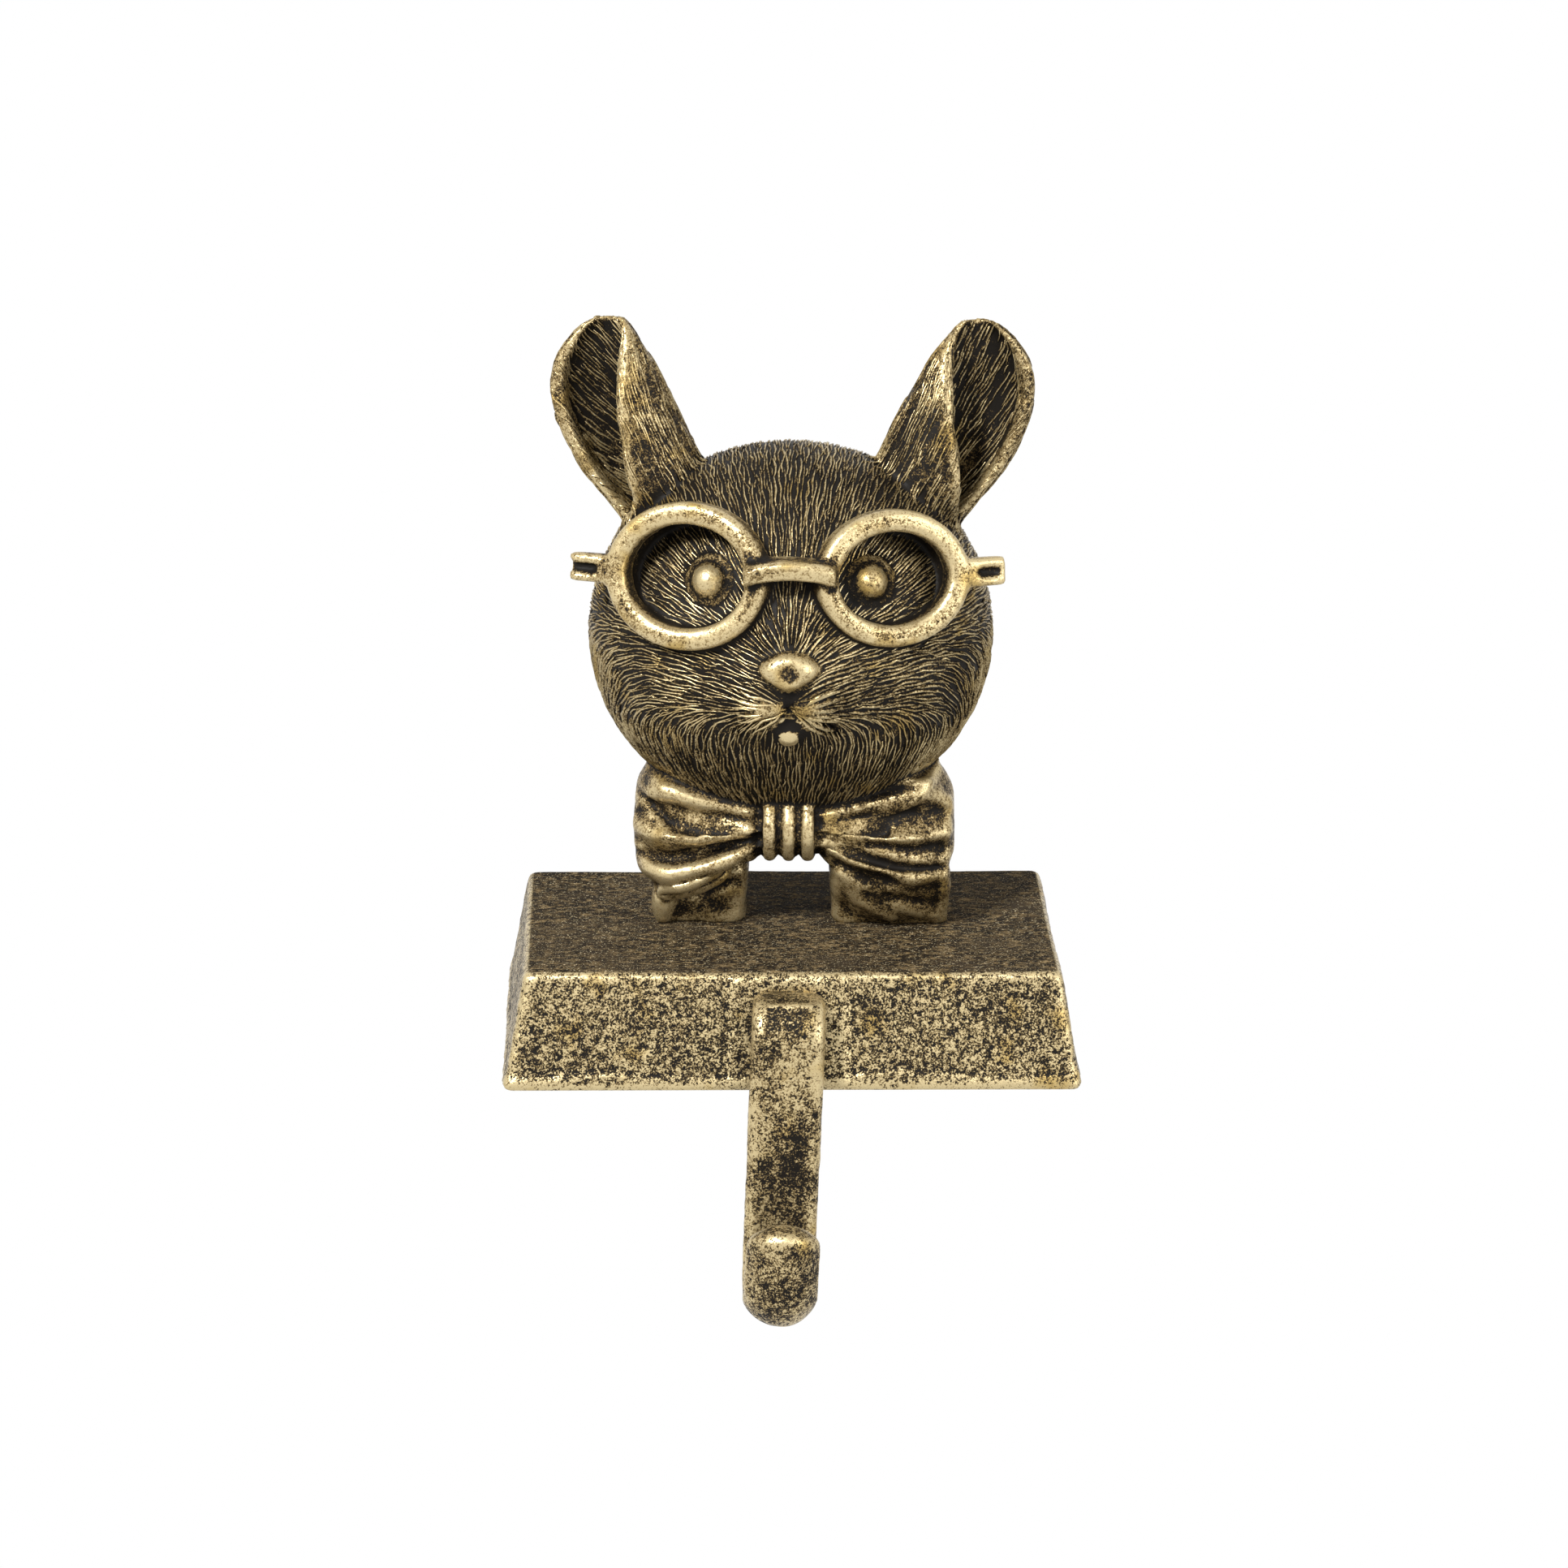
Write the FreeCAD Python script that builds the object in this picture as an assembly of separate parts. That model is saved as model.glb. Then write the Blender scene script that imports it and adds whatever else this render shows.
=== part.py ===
import FreeCAD, Part
import math
import os

# Mantel stocking holder: a heavy tapered block stands at the edge of the mantel, a J hook
# let into its front face hangs down past the shelf, and a cast mouse bust with round glasses
# and a bow tie is screwed on top. Millimetres. X to the viewer's right, -Y to the front,
# Z up. The origin is the middle of the underside, on the shelf.

# Block, measured at its underside
block_width = 114.0
block_depth = 76.0
block_height = 23.2
block_taper = 4.2            # each side leans in by this much at the top
block_edge_radius = 1.6
block_foot_radius = 0.7      # round its lower edges
boss_width = 23.0            # low patch on the front face around the hook's root
boss_proud = 0.4
boss_edge_margin = 1.4       # patch stops this far short of the block's top and bottom

# Felt glued under the block
felt_thickness = 0.6
felt_inset = 5.0
felt_corner_radius = 6.0

# Hook, a flat bar bent to a J
hook_width = 14.6
hook_flat_side = 2.7         # from the bar's centreline to its flat inner side
hook_swell_side = 4.1        # and to the crown of its rounded outer side
hook_corner_radius = 2.2
hook_top_drop = 3.6          # top of the hook below the block's top
hook_shelf_gap = 0.5         # back of the shank ahead of the block's lower front edge
hook_bend_radius = 4.6       # centreline of the upper bend
hook_reach_down = 42.7       # bottom of the hook below the shelf
hook_throat = 12.0           # clear gap between shank and tip
hook_tip_rise = 12.8         # straight run of the tip above the bottom bend
hook_tip_lean = 10.0         # degrees that the tip opens forward
hook_tip_crown = 4.6         # how much the tip's end is rounded, seen from the front
hook_tip_rounding = 2.2
hook_crook = 1.9             # degrees that the bar hangs off plumb
hook_offset = -1.0           # and its distance from the middle of the block

# Tenon that carries the hook in the block
tenon_width = 9.0
tenon_height = 4.6
tenon_length = 14.0
tenon_clearance = 0.12
tenon_end_gap = 0.6

# Screws, one size throughout
screw_radius = 2.0
screw_head_radius = 3.5
screw_head_height = 2.4
screw_hex = 2.5
screw_hex_depth = 1.2
screw_hole_clearance = 0.2
thread_clearance = 0.05
counterbore_radius = 4.2
counterbore_depth = 4.0
foot_screw_bite = 9.0
tenon_screw_bite = 3.6
blind_hole_end_gap = 0.8

# Head, a ball pushed out of round
head_width = 79.8
head_depth = 62.0
head_height = 75.0
head_rise = 60.2             # centre of the head above the block's top
head_setback = 3.0           # centre of the head behind the block's middle
snout_swell = 0.10           # these are shares of the head's radius
muzzle_swell = 0.035
cheek_swell = 0.038
brow_swell = 0.03
socket_sink = 0.05
whisker_pad_swell = 0.05
chin_sink = 0.02
skull_pole_tilt = 15.0       # degrees above level, so that the pole lies clear of the nose
rings_round_head = 36
rings_along_head = 20

# Eyes, each a ball in a raised lid
eye_radius = 3.5
eye_spread = 15.4
eye_rise = 16.0              # above the head's centre
eyelid_ring_radius = 4.4
eyelid_radius = 0.9

# Nose pad, mouth and lip
nose_width = 11.6
nose_height = 7.8
nose_thickness = 6.0
nose_rise = 0.4              # from the head's centre
nose_dimple_radius = 6.0
nose_dimple_depth = 0.9
mouth_groove_radius = 1.0
mouth_depth = 0.9
mouth_end_depth = 0.35
mouth_rise = -9.2
mouth_half_width = 10.5
mouth_end_drop = 5.4
lip_radius = 2.5
lip_rise = -13.9

# Glasses. The viewer's left ring came out larger than the right one.
left_ring_width = 33.0
left_ring_height = 29.0
right_ring_width = 31.0
right_ring_height = 26.8
ring_band = 4.3
ring_thickness = 5.5
ring_spread = 20.6           # each ring's centre from the middle
ring_rise = 17.8             # above the head's centre
ring_behind_face = 2.0       # a ring's centre behind the foremost point of the plain ball
ring_wrap = 18.0             # degrees that each ring turns round the face
ring_lean = 10.0             # degrees that the rings lean back with the forehead
ring_edge_radius = 1.2
skirt_length = 15.0          # wall behind each ring that runs back to the face
skirt_wall = 2.4
skirt_draw_in = 5.5
bridge_length = 18.0
bridge_height = 3.8
bridge_thickness = 6.6       # it runs back into the rings
bridge_arch = 1.3
bridge_edge_radius = 0.9
bridge_rise = 20.6
bridge_ahead = 7.0           # of the rings' centres
temple_length = 7.4
temple_height = 5.6
temple_thickness = 4.4
temple_slot_height = 2.0
temple_slot_depth = 1.5
temple_slot_stop = 1.1       # the right slot stops short of the end by this much

# Ears: for each height above the head's centre, the middle of the cup from the centre line,
# half its width, half its depth, and the degrees that the cup lies open on the viewer's left
# ear and on the right one, from the outer rim on. The right ear opens wider than the left.
ear_sections = [
    (19.0, 22.5, 8.5, 7.0, 17, 17),
    (23.5, 24.4, 10.0, 8.0, 31, 27),
    (28.0, 26.9, 11.3, 8.6, 63, 51),
    (32.5, 29.5, 12.1, 8.8, 73, 66),
    (38.0, 32.2, 12.4, 8.4, 83, 83),
    (43.5, 34.6, 12.2, 7.9, 90, 98),
    (49.0, 36.3, 11.4, 7.1, 100, 111),
    (54.0, 37.1, 9.6, 5.9, 111, 127),
    (58.2, 37.1, 7.0, 4.4, 125, 145),
    (61.0, 36.7, 4.6, 3.0, 141, 159),
    (62.8, 36.2, 2.2, 1.7, 153, 165),
]
ear_outer_rim = 187          # degrees round the cup from its outer side
right_ear_broader = 1.5      # on its inner side
ear_wall = 2.5
ear_setback = 1.4            # middle of the cup behind the head's centre
ear_points_round = 11

# Bow tie: for each distance from the centre line, the front, back, bottom and top of a wing
# as distances ahead of the block's middle and above its top, and how deep its folds run there
wing_sections = [
    (3.5, 13.0, 5.0, 18.4, 27.4, 0.5),
    (8.0, 13.0, 4.0, 16.6, 28.6, 1.2),
    (14.0, 12.6, 1.0, 12.8, 31.0, 1.8),
    (20.0, 12.4, -3.0, 10.0, 33.4, 2.2),
    (26.0, 11.2, -5.0, 8.2, 35.2, 2.0),
    (30.2, 8.2, -4.0, 10.6, 32.6, 1.3),
    (32.4, 4.2, -1.5, 15.5, 27.0, 0.4),
]
wing_fold_count = 3
wing_stretch = {-1: 0.955, 1: 1.02}    # the left wing is the shorter one
wing_points_round = 40
knot_rise = 23.0             # middle of the knot above the block's top
knot_setback = 8.5           # middle of the knot's ribs ahead of the block's middle
knot_ring_radius = 5.6
knot_rib_radius = 2.05
knot_rib_pitch = 3.8

# Neck between the bow and the head, and the two feet under the bow
neck_width = 48.0
neck_depth = 28.0
neck_setback = 4.0
neck_bottom_rise = 18.0
neck_height = 20.0
bust_turn = 2.2              # degrees that the whole bust faces to the viewer's left
foot_inner = 8.9
left_foot_outer = 27.2
right_foot_outer = 32.0
foot_front = 2.0             # front of the feet ahead of the block's middle
foot_depth = 18.0
foot_corner_radius = 3.0
foot_rise = 33.0             # legs run up into the head
foot_top_inset = 4.0
left_foot_drape = 3.0        # how far each foot's front leans forward as it rises
right_foot_drape = 10.0

# Levels and places that several pieces share
block_bottom_z = felt_thickness
block_top_z = block_bottom_z + block_height
head_centre = FreeCAD.Vector(0, head_setback, block_top_z + head_rise)
foot_outer = {-1: left_foot_outer, 1: right_foot_outer}
ring_front = head_depth / 2 - ring_behind_face
ring_size = {-1: (left_ring_width, left_ring_height), 1: (right_ring_width, right_ring_height)}
hook_axis_z = block_top_z - hook_top_drop - hook_flat_side
shank_y = -block_depth / 2 - hook_shelf_gap - hook_swell_side
hook_thickness = hook_flat_side + hook_swell_side
foot_centre_y = -foot_front + foot_depth / 2
lean_per_mm = block_taper / block_height


def vec(x, y, z):
    return FreeCAD.Vector(x, y, z)


def block_front_y(z):
    """Y of the block's front face at height z."""
    return -block_depth / 2 + lean_per_mm * (z - block_bottom_z)


tenon_back_y = block_front_y(hook_axis_z) + tenon_length
tenon_screw_place = (hook_offset, tenon_back_y - tenon_length / 3)
tenon_underside_z = hook_axis_z - tenon_height / 2
foot_screw_places = []
for side in (-1, 1):
    place = vec(side * (foot_inner + foot_outer[side]) / 2, foot_centre_y, 0)
    place = FreeCAD.Rotation(vec(0, 0, 1), -bust_turn).multVec(place)
    foot_screw_places.append((place.x, place.y))


def rectangle(width, depth, z):
    half_w = width / 2
    half_d = depth / 2
    corners = [(-half_w, -half_d), (half_w, -half_d), (half_w, half_d), (-half_w, half_d), (-half_w, -half_d)]
    return Part.makePolygon([vec(x, y, z) for x, y in corners])


def tapered_block():
    """Block with straight sides, its edges rounded."""
    foot = rectangle(block_width, block_depth, block_bottom_z)
    top = rectangle(block_width - 2 * block_taper, block_depth - 2 * block_taper, block_top_z)
    block = Part.makeLoft([foot, top], True, True)
    upper = [e for e in block.Edges if e.BoundBox.ZMax > block_top_z - 0.01]
    block = block.makeFillet(block_edge_radius, upper)
    lower = [e for e in block.Edges if e.BoundBox.ZMax < block_bottom_z + 0.01]
    return block.makeFillet(block_foot_radius, lower)


def bar_profile(centre, thin, wide):
    """Section of the hook's bar: flat inside with small corners, swelling outside.

    thin points to the flat side, wide across the bar."""
    half = hook_width / 2
    flat = hook_flat_side
    swell = hook_swell_side
    r = hook_corner_radius
    mid = math.sqrt(0.5) * r

    def at(x, z):
        return centre + wide * x + thin * z

    return Part.Wire([
        Part.Arc(at(half - r, flat), at(half - r + mid, flat - r + mid), at(half, flat - r)).toShape(),
        Part.Arc(at(half, flat - r), at(0, -swell), at(-half, flat - r)).toShape(),
        Part.Arc(at(-half, flat - r), at(r - half - mid, flat - r + mid), at(r - half, flat)).toShape(),
        Part.LineSegment(at(r - half, flat), at(half - r, flat)).toShape(),
    ])


def screw_hole(x, y, top_z):
    """Counterbore and clearance hole up through the block."""
    head = Part.makeCylinder(counterbore_radius, counterbore_depth, vec(x, y, block_bottom_z))
    seat_z = block_bottom_z + counterbore_depth
    shank = Part.makeCylinder(screw_radius + screw_hole_clearance, top_z - seat_z, vec(x, y, seat_z))
    return head.fuse(shank)


def screw(x, y, tip_z):
    """Cap screw, head down, its shoulder on the counterbore's seat."""
    seat_z = block_bottom_z + counterbore_depth
    head = Part.makeCylinder(screw_head_radius, screw_head_height, vec(x, y, seat_z - screw_head_height))
    head_rim = [e for e in head.Edges if abs(e.BoundBox.ZMin - (seat_z - screw_head_height)) < 0.01
                and abs(e.BoundBox.ZMax - e.BoundBox.ZMin) < 0.01]
    head = head.makeChamfer(0.4, head_rim)
    shank = Part.makeCylinder(screw_radius, tip_z - seat_z, vec(x, y, seat_z))
    corner = screw_hex / math.sqrt(3)
    corners = [vec(x + corner * math.cos(math.radians(60 * i)), y + corner * math.sin(math.radians(60 * i)),
                   seat_z - screw_head_height) for i in range(7)]
    socket = Part.Face(Part.makePolygon(corners)).extrude(vec(0, 0, screw_hex_depth))
    return head.fuse(shank).cut(socket).removeSplitter()


def make_block():
    """Tapered block with the hook's socket and the three screw holes."""
    block = tapered_block()
    boss_x = hook_offset - boss_width / 2
    slab_back = block_front_y(block_top_z) + 3 * boss_proud
    low_z = block_bottom_z + boss_edge_margin
    high_z = block_top_z - boss_edge_margin
    profile = [
        vec(boss_x, block_front_y(low_z) - boss_proud, low_z),
        vec(boss_x, block_front_y(high_z) - boss_proud, high_z),
        vec(boss_x, slab_back, high_z),
        vec(boss_x, slab_back, low_z),
    ]
    boss = Part.Face(Part.makePolygon(profile + profile[:1])).extrude(vec(boss_width, 0, 0))
    block = block.fuse(boss).removeSplitter()
    socket_depth = tenon_length + tenon_end_gap + 2 * hook_thickness
    corner = vec(hook_offset - tenon_width / 2 - tenon_clearance, tenon_back_y + tenon_end_gap - socket_depth,
                 tenon_underside_z - tenon_clearance)
    socket = Part.makeBox(tenon_width + 2 * tenon_clearance, socket_depth,
                          tenon_height + 2 * tenon_clearance, corner)
    block = block.cut(socket)
    for x, y in foot_screw_places:
        block = block.cut(screw_hole(x, y, block_top_z))
    block = block.cut(screw_hole(*tenon_screw_place, tenon_underside_z))
    return block


def make_felt():
    width = block_width - 2 * felt_inset
    depth = block_depth - 2 * felt_inset
    felt = Part.makeBox(width, depth, felt_thickness, vec(-width / 2, -depth / 2, 0))
    corners = [e for e in felt.Edges if abs(e.BoundBox.ZLength - felt_thickness) < 0.01]
    return felt.makeFillet(felt_corner_radius, corners)


def hook_path():
    """Centreline of the bar, from behind the block's face round to the tip."""
    x = hook_offset
    root = vec(x, block_front_y(hook_axis_z) + hook_thickness, hook_axis_z)
    bend = hook_bend_radius
    lower = hook_throat / 2 + hook_flat_side
    bottom_centre_z = -hook_reach_down + lower + hook_swell_side
    halfway = bend * (1 - math.cos(math.pi / 4))
    bend_start = vec(x, shank_y + bend, hook_axis_z)
    bend_mid = vec(x, shank_y + halfway, hook_axis_z - halfway)
    bend_end = vec(x, shank_y, hook_axis_z - bend)
    u_centre = vec(x, shank_y - lower, bottom_centre_z)
    sweep = math.radians(180 - hook_tip_lean)

    def on_u(angle):
        return u_centre + vec(0, lower * math.cos(angle), -lower * math.sin(angle))

    u_start = on_u(0)
    u_end = on_u(sweep)
    tip_way = vec(0, -math.sin(sweep), -math.cos(sweep))
    tip = u_end + tip_way * hook_tip_rise
    return Part.Wire([
        Part.LineSegment(root, bend_start).toShape(),
        Part.Arc(bend_start, bend_mid, bend_end).toShape(),
        Part.LineSegment(bend_end, u_start).toShape(),
        Part.Arc(u_start, on_u(sweep / 2), u_end).toShape(),
        Part.LineSegment(u_end, tip).toShape(),
    ]), root, tip, tip_way


def make_hook(block):
    path, root, tip, tip_way = hook_path()
    across = vec(1, 0, 0)
    bar = path.makePipeShell([bar_profile(root, vec(0, 0, 1), across)], True, False)
    inward = tip_way.cross(across)
    reach = hook_width / 2 + 1
    drop = hook_tip_crown * (reach / (hook_width / 2)) ** 2
    right = tip + across * reach - tip_way * drop
    left = tip - across * reach - tip_way * drop
    above = tip_way * (2 * drop)
    beyond = Part.Wire([
        Part.Arc(right, tip, left).toShape(),
        Part.LineSegment(left, left + above).toShape(),
        Part.LineSegment(left + above, right + above).toShape(),
        Part.LineSegment(right + above, right).toShape(),
    ])
    beyond.translate(inward * -hook_width)
    bar = bar.cut(Part.Face(beyond).extrude(inward * (2 * hook_width)))
    end_face = min(bar.Faces, key=lambda f: (f.CenterOfMass - tip).Length)
    bar = bar.makeFillet(hook_tip_rounding, end_face.Edges)
    bar.rotate(root, vec(0, 1, 0), hook_crook)
    bar = bar.cut(block)
    bar = max(bar.Solids, key=lambda s: s.Volume)
    tenon = Part.makeBox(
        tenon_width, tenon_length + hook_thickness, tenon_height,
        vec(hook_offset - tenon_width / 2, tenon_back_y - tenon_length - hook_thickness, tenon_underside_z),
    )
    hook = bar.fuse(tenon)
    x, y = tenon_screw_place
    hole = Part.makeCylinder(screw_radius + thread_clearance, tenon_screw_bite + blind_hole_end_gap,
                             vec(x, y, tenon_underside_z))
    return hook.cut(hole).removeSplitter()


def head_radius(way):
    """Distance from the head's centre to its skin in the direction of the unit vector way."""
    a = head_width / 2
    b = head_depth / 2
    c = head_height / 2
    plain = 1 / math.sqrt((way.x / a) ** 2 + (way.y / b) ** 2 + (way.z / c) ** 2)
    side = abs(way.x)
    swell = 0.0
    for (x, y, z), height, spread in [
        ((0, -1, -0.08), snout_swell, 25),
        ((0, -1, 0.24), muzzle_swell, 13),
        ((0.62, -0.62, -0.42), cheek_swell, 26),
        ((0.30, -0.80, 0.75), brow_swell, 22),
        ((0.48, -0.80, 0.46), -socket_sink, 14),
        ((0.20, -0.95, -0.22), whisker_pad_swell, 11),
        ((0, -0.72, -0.80), -chin_sink, 20),
    ]:
        centre = vec(x, y, z).normalize()
        angle = math.degrees(vec(side, way.y, way.z).getAngle(centre))
        swell += height * math.exp(-((angle / spread) ** 2))
    return plain * (1 + swell)


def head_way(turn, down):
    """Unit vector turn degrees round the axis of the skull's spline and down degrees away from it."""
    t = math.radians(turn)
    d = math.radians(down)
    way = vec(math.sin(d) * math.cos(t), -math.cos(d), math.sin(d) * math.sin(t))
    return FreeCAD.Rotation(vec(1, 0, 0), -skull_pole_tilt).multVec(way)


def outward(point):
    """Direction square to the skin at a point of it, measured from the head's centre."""
    def height(p):
        return p.Length - head_radius(vec(p.x, p.y, p.z).normalize())

    step = 0.3
    return vec(
        height(point + vec(step, 0, 0)) - height(point - vec(step, 0, 0)),
        height(point + vec(0, step, 0)) - height(point - vec(0, step, 0)),
        height(point + vec(0, 0, step)) - height(point - vec(0, 0, step)),
    ).normalize()


def skin_normal(point):
    return outward(point - head_centre)


def skin_point(x, z):
    """Point of the face above (x, z), both from the head's centre, found by stepping outwards."""
    low = 0.0
    high = head_depth
    for _ in range(40):
        y = (low + high) / 2
        point = vec(x, -y, z)
        if point.Length < head_radius(vec(point.x, point.y, point.z).normalize()):
            low = y
        else:
            high = y
    return head_centre + vec(x, -low, z)


def make_skull():
    """Smooth closed skin, one spline surface between a pole over the nose and one behind.

    It is laid as an upper and a lower half, which join soundly with the rest."""
    turns = rings_round_head
    last = rings_along_head - 1
    spans = last - 2
    places = [0, 1 / 3] + list(range(1, spans)) + [spans - 1 / 3, spans]
    grid = []
    for i in range(turns):
        ways = [head_way(360 * i / turns, 180 * place / spans) for place in places]
        grid.append([way * head_radius(way) for way in ways])

    def sharpened(before, here, after):
        return here - (before + after - here * 2) * (1 / 6)

    around = [[sharpened(grid[i - 1][j], grid[i][j], grid[(i + 1) % turns][j]) for j in range(last + 1)]
              for i in range(turns)]
    poles = []
    for row in around:
        inner = [sharpened(row[j - 1], row[j], row[j + 1]) for j in range(3, last - 2)]
        row = row[:3] + inner + row[-3:]
        row[0], row[-1] = grid[0][0], grid[0][-1]
        for pole, beside in ((0, 1), (-1, -2)):
            out = outward(row[pole])
            row[beside] = row[beside] - out * (row[beside] - row[pole]).dot(out)
        poles.append([head_centre + point for point in row])
    skin = Part.BSplineSurface()
    skin.buildFromPolesMultsKnots(
        poles,
        [1] * (turns + 1),
        [4] + [1] * (spans - 1) + [4],
        list(range(turns + 1)),
        list(range(spans + 1)),
        True, False, 3, 3,
    )
    halves = []
    for first in (0, turns // 2):
        half = skin.copy()
        half.segment(first, first + turns // 2, 0, spans)
        halves.append(half.toShape())
    shell = Part.Shell(halves)
    shell.sewShape()
    return Part.Solid(shell)


def ball(centre, width, depth, height):
    """Ellipsoid with the three given sizes along X, Y and Z."""
    stretch = FreeCAD.Matrix()
    stretch.scale(width / 2, depth / 2, height / 2)
    shape = Part.makeSphere(1.0).transformGeometry(stretch)
    shape.translate(centre)
    return shape


def make_eye(side):
    seat = skin_point(side * eye_spread, eye_rise)
    out = skin_normal(seat)
    eye = Part.makeSphere(eye_radius, seat + out * (eye_radius * 0.15))
    lid = Part.makeTorus(eyelid_ring_radius, eyelid_radius, seat + out * 0.1, out)
    return [lid, eye]


def make_nose():
    seat = skin_point(0, nose_rise)
    pad = ball(seat, nose_width, nose_thickness, nose_height)
    tip = seat + vec(0, -nose_thickness / 2, 0)
    dimple = Part.makeSphere(nose_dimple_radius, tip + vec(0, nose_dimple_depth - nose_dimple_radius, 0.4))
    return pad.cut(dimple)


def mouth_groove():
    """Round-bottomed arc that cuts the line of the mouth, falling away on both sides of the middle."""
    places = [
        (-mouth_half_width, mouth_rise - mouth_end_drop, mouth_end_depth),
        (0, mouth_rise, mouth_depth),
        (mouth_half_width, mouth_rise - mouth_end_drop, mouth_end_depth),
    ]
    points = []
    for x, z, depth in places:
        on_skin = skin_point(x, z)
        points.append(on_skin + skin_normal(on_skin) * (mouth_groove_radius - depth))
    arc = Part.Arc(*points)
    start_way = arc.tangent(arc.FirstParameter)[0]
    circle = Part.Wire(Part.Circle(points[0], start_way, mouth_groove_radius).toShape())
    return Part.Wire(arc.toShape()).makePipeShell([circle], True, True)


def ellipse_wire(centre, right, up, half_width, half_height):
    normal = right.cross(up)
    if half_width >= half_height:
        curve = Part.Ellipse(centre + right * half_width, centre + up * half_height, centre)
    else:
        curve = Part.Ellipse(centre + up * half_height, centre - right * half_width, centre)
    return Part.Wire(curve.toShape())


def ring_frame(side):
    """Centre of a ring's front, and its right, up and forward directions."""
    turn = FreeCAD.Rotation(vec(0, 0, 1), side * ring_wrap) * FreeCAD.Rotation(vec(1, 0, 0), -ring_lean)
    centre = head_centre + vec(side * ring_spread, -ring_front, ring_rise)
    return centre, turn.multVec(vec(1, 0, 0)), turn.multVec(vec(0, 0, 1)), turn.multVec(vec(0, -1, 0))


def make_ring(side):
    """Band of the glasses on one side, with the wall that carries it on the face."""
    centre, right, up, forward = ring_frame(side)
    width, height = (size / 2 for size in ring_size[side])
    back = centre - forward * ring_thickness

    def face(at, outer_inset, inner_inset):
        outer = ellipse_wire(at, right, up, width - outer_inset, height - outer_inset)
        inner = ellipse_wire(at, right, up, width - inner_inset, height - inner_inset)
        return outer, inner

    outer, inner = face(back, 0, ring_band)
    disc, window = (Part.Face(wire).extrude(forward * ring_thickness) for wire in (outer, inner))
    band = disc.cut(window)
    rims = [e for e in band.Edges if abs((e.CenterOfMass - centre).dot(forward)) < 0.05 and len(e.Vertexes) == 1]
    band = band.makeFillet(ring_edge_radius, rims)
    far = back - forward * skirt_length
    outer_back, inner_back = face(far, skirt_draw_in, skirt_draw_in + skirt_wall)
    outer_front, inner_front = face(back + forward * 0.8, 0.5, 0.5 + skirt_wall)
    skirt = Part.makeLoft([outer_front, outer_back], True, True)
    hollow = Part.makeLoft([inner_front, inner_back], True, True)
    return band, skirt, hollow


def make_bridge():
    """Bar over the nose, arched a little and laid over the front of both rings."""
    y = head_centre.y - ring_front - bridge_ahead
    z = head_centre.z + bridge_rise
    half = bridge_length / 2
    low, high = z - bridge_height / 2, z + bridge_height / 2
    edges = [
        Part.Arc(vec(-half, y, high - bridge_arch), vec(0, y, high), vec(half, y, high - bridge_arch)).toShape(),
        Part.LineSegment(vec(half, y, high - bridge_arch), vec(half, y, low - bridge_arch)).toShape(),
        Part.Arc(vec(half, y, low - bridge_arch), vec(0, y, low), vec(-half, y, low - bridge_arch)).toShape(),
        Part.LineSegment(vec(-half, y, low - bridge_arch), vec(-half, y, high - bridge_arch)).toShape(),
    ]
    bar = Part.Face(Part.Wire(edges)).extrude(vec(0, bridge_thickness, 0))
    return bar.makeFillet(bridge_edge_radius, [e for e in bar.Edges if e.BoundBox.YMax < y + 0.01])


def make_temple(side):
    """Short end piece beside a ring, slotted for the arm that the casting leaves out."""
    centre, right, up, forward = ring_frame(side)
    out = right * side
    width = ring_size[side][0] / 2
    start = centre + out * (width - ring_band * 0.5) - forward * (temple_thickness + 0.5)
    low = start - up * (temple_height / 2)
    reach = temple_length + ring_band * 0.5

    def block_at(corner, length, tall, thick):
        corners = [corner, corner + out * length, corner + out * length + up * tall, corner + up * tall]
        return Part.Face(Part.makePolygon(corners + corners[:1])).extrude(forward * thick)

    stub = block_at(low, reach, temple_height, temple_thickness)
    long_edges = [e for e in stub.Edges if abs(e.Length - reach) < 0.01]
    stub = stub.makeFillet(0.9, long_edges)
    stop = temple_slot_stop if side > 0 else -1.0
    slot_corner = start - up * (temple_slot_height / 2) + out * (ring_band * 0.5 + 1.6)
    slot_corner = slot_corner + forward * (temple_thickness - temple_slot_depth)
    slot = block_at(slot_corner, temple_length - 1.6 - stop, temple_slot_height, temple_slot_depth + 1)
    return stub, slot


def make_ear(side):
    """Cup rolled from a wall, open to the front and the outside, closing to a point at the head."""
    wires = []
    for rise, middle, half_width, half_depth, left_open, right_open in ear_sections:
        end = ear_outer_rim
        start = end + (left_open if side < 0 else right_open) - 360
        if side > 0:
            up_share = (rise - ear_sections[0][0]) / (ear_sections[-1][0] - ear_sections[0][0])
            middle -= right_ear_broader / 2 * math.sin(math.pi * up_share)
            half_width += right_ear_broader / 2 * math.sin(math.pi * up_share)
        wall = min(ear_wall, 0.42 * half_depth)
        count = ear_points_round

        def at(angle, inset):
            a = math.radians(angle)
            x = middle - (half_width - inset) * math.cos(a)
            y = ear_setback + (half_depth - inset) * math.sin(a)
            return head_centre + vec(side * x, y, rise)

        turn = [start + (end - start) * i / (count - 1) for i in range(count)]
        tip = math.degrees(wall / 2 / half_width)
        points = [at(t, 0) for t in turn] + [at(end + tip, wall / 2)]
        points += [at(t, wall) for t in reversed(turn)] + [at(start - tip, wall / 2)]
        curve = Part.BSplineCurve()
        curve.interpolate(Points=points, PeriodicFlag=True)
        wires.append(Part.Wire(curve.toShape()))
    return Part.makeLoft(wires, True, False)


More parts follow.
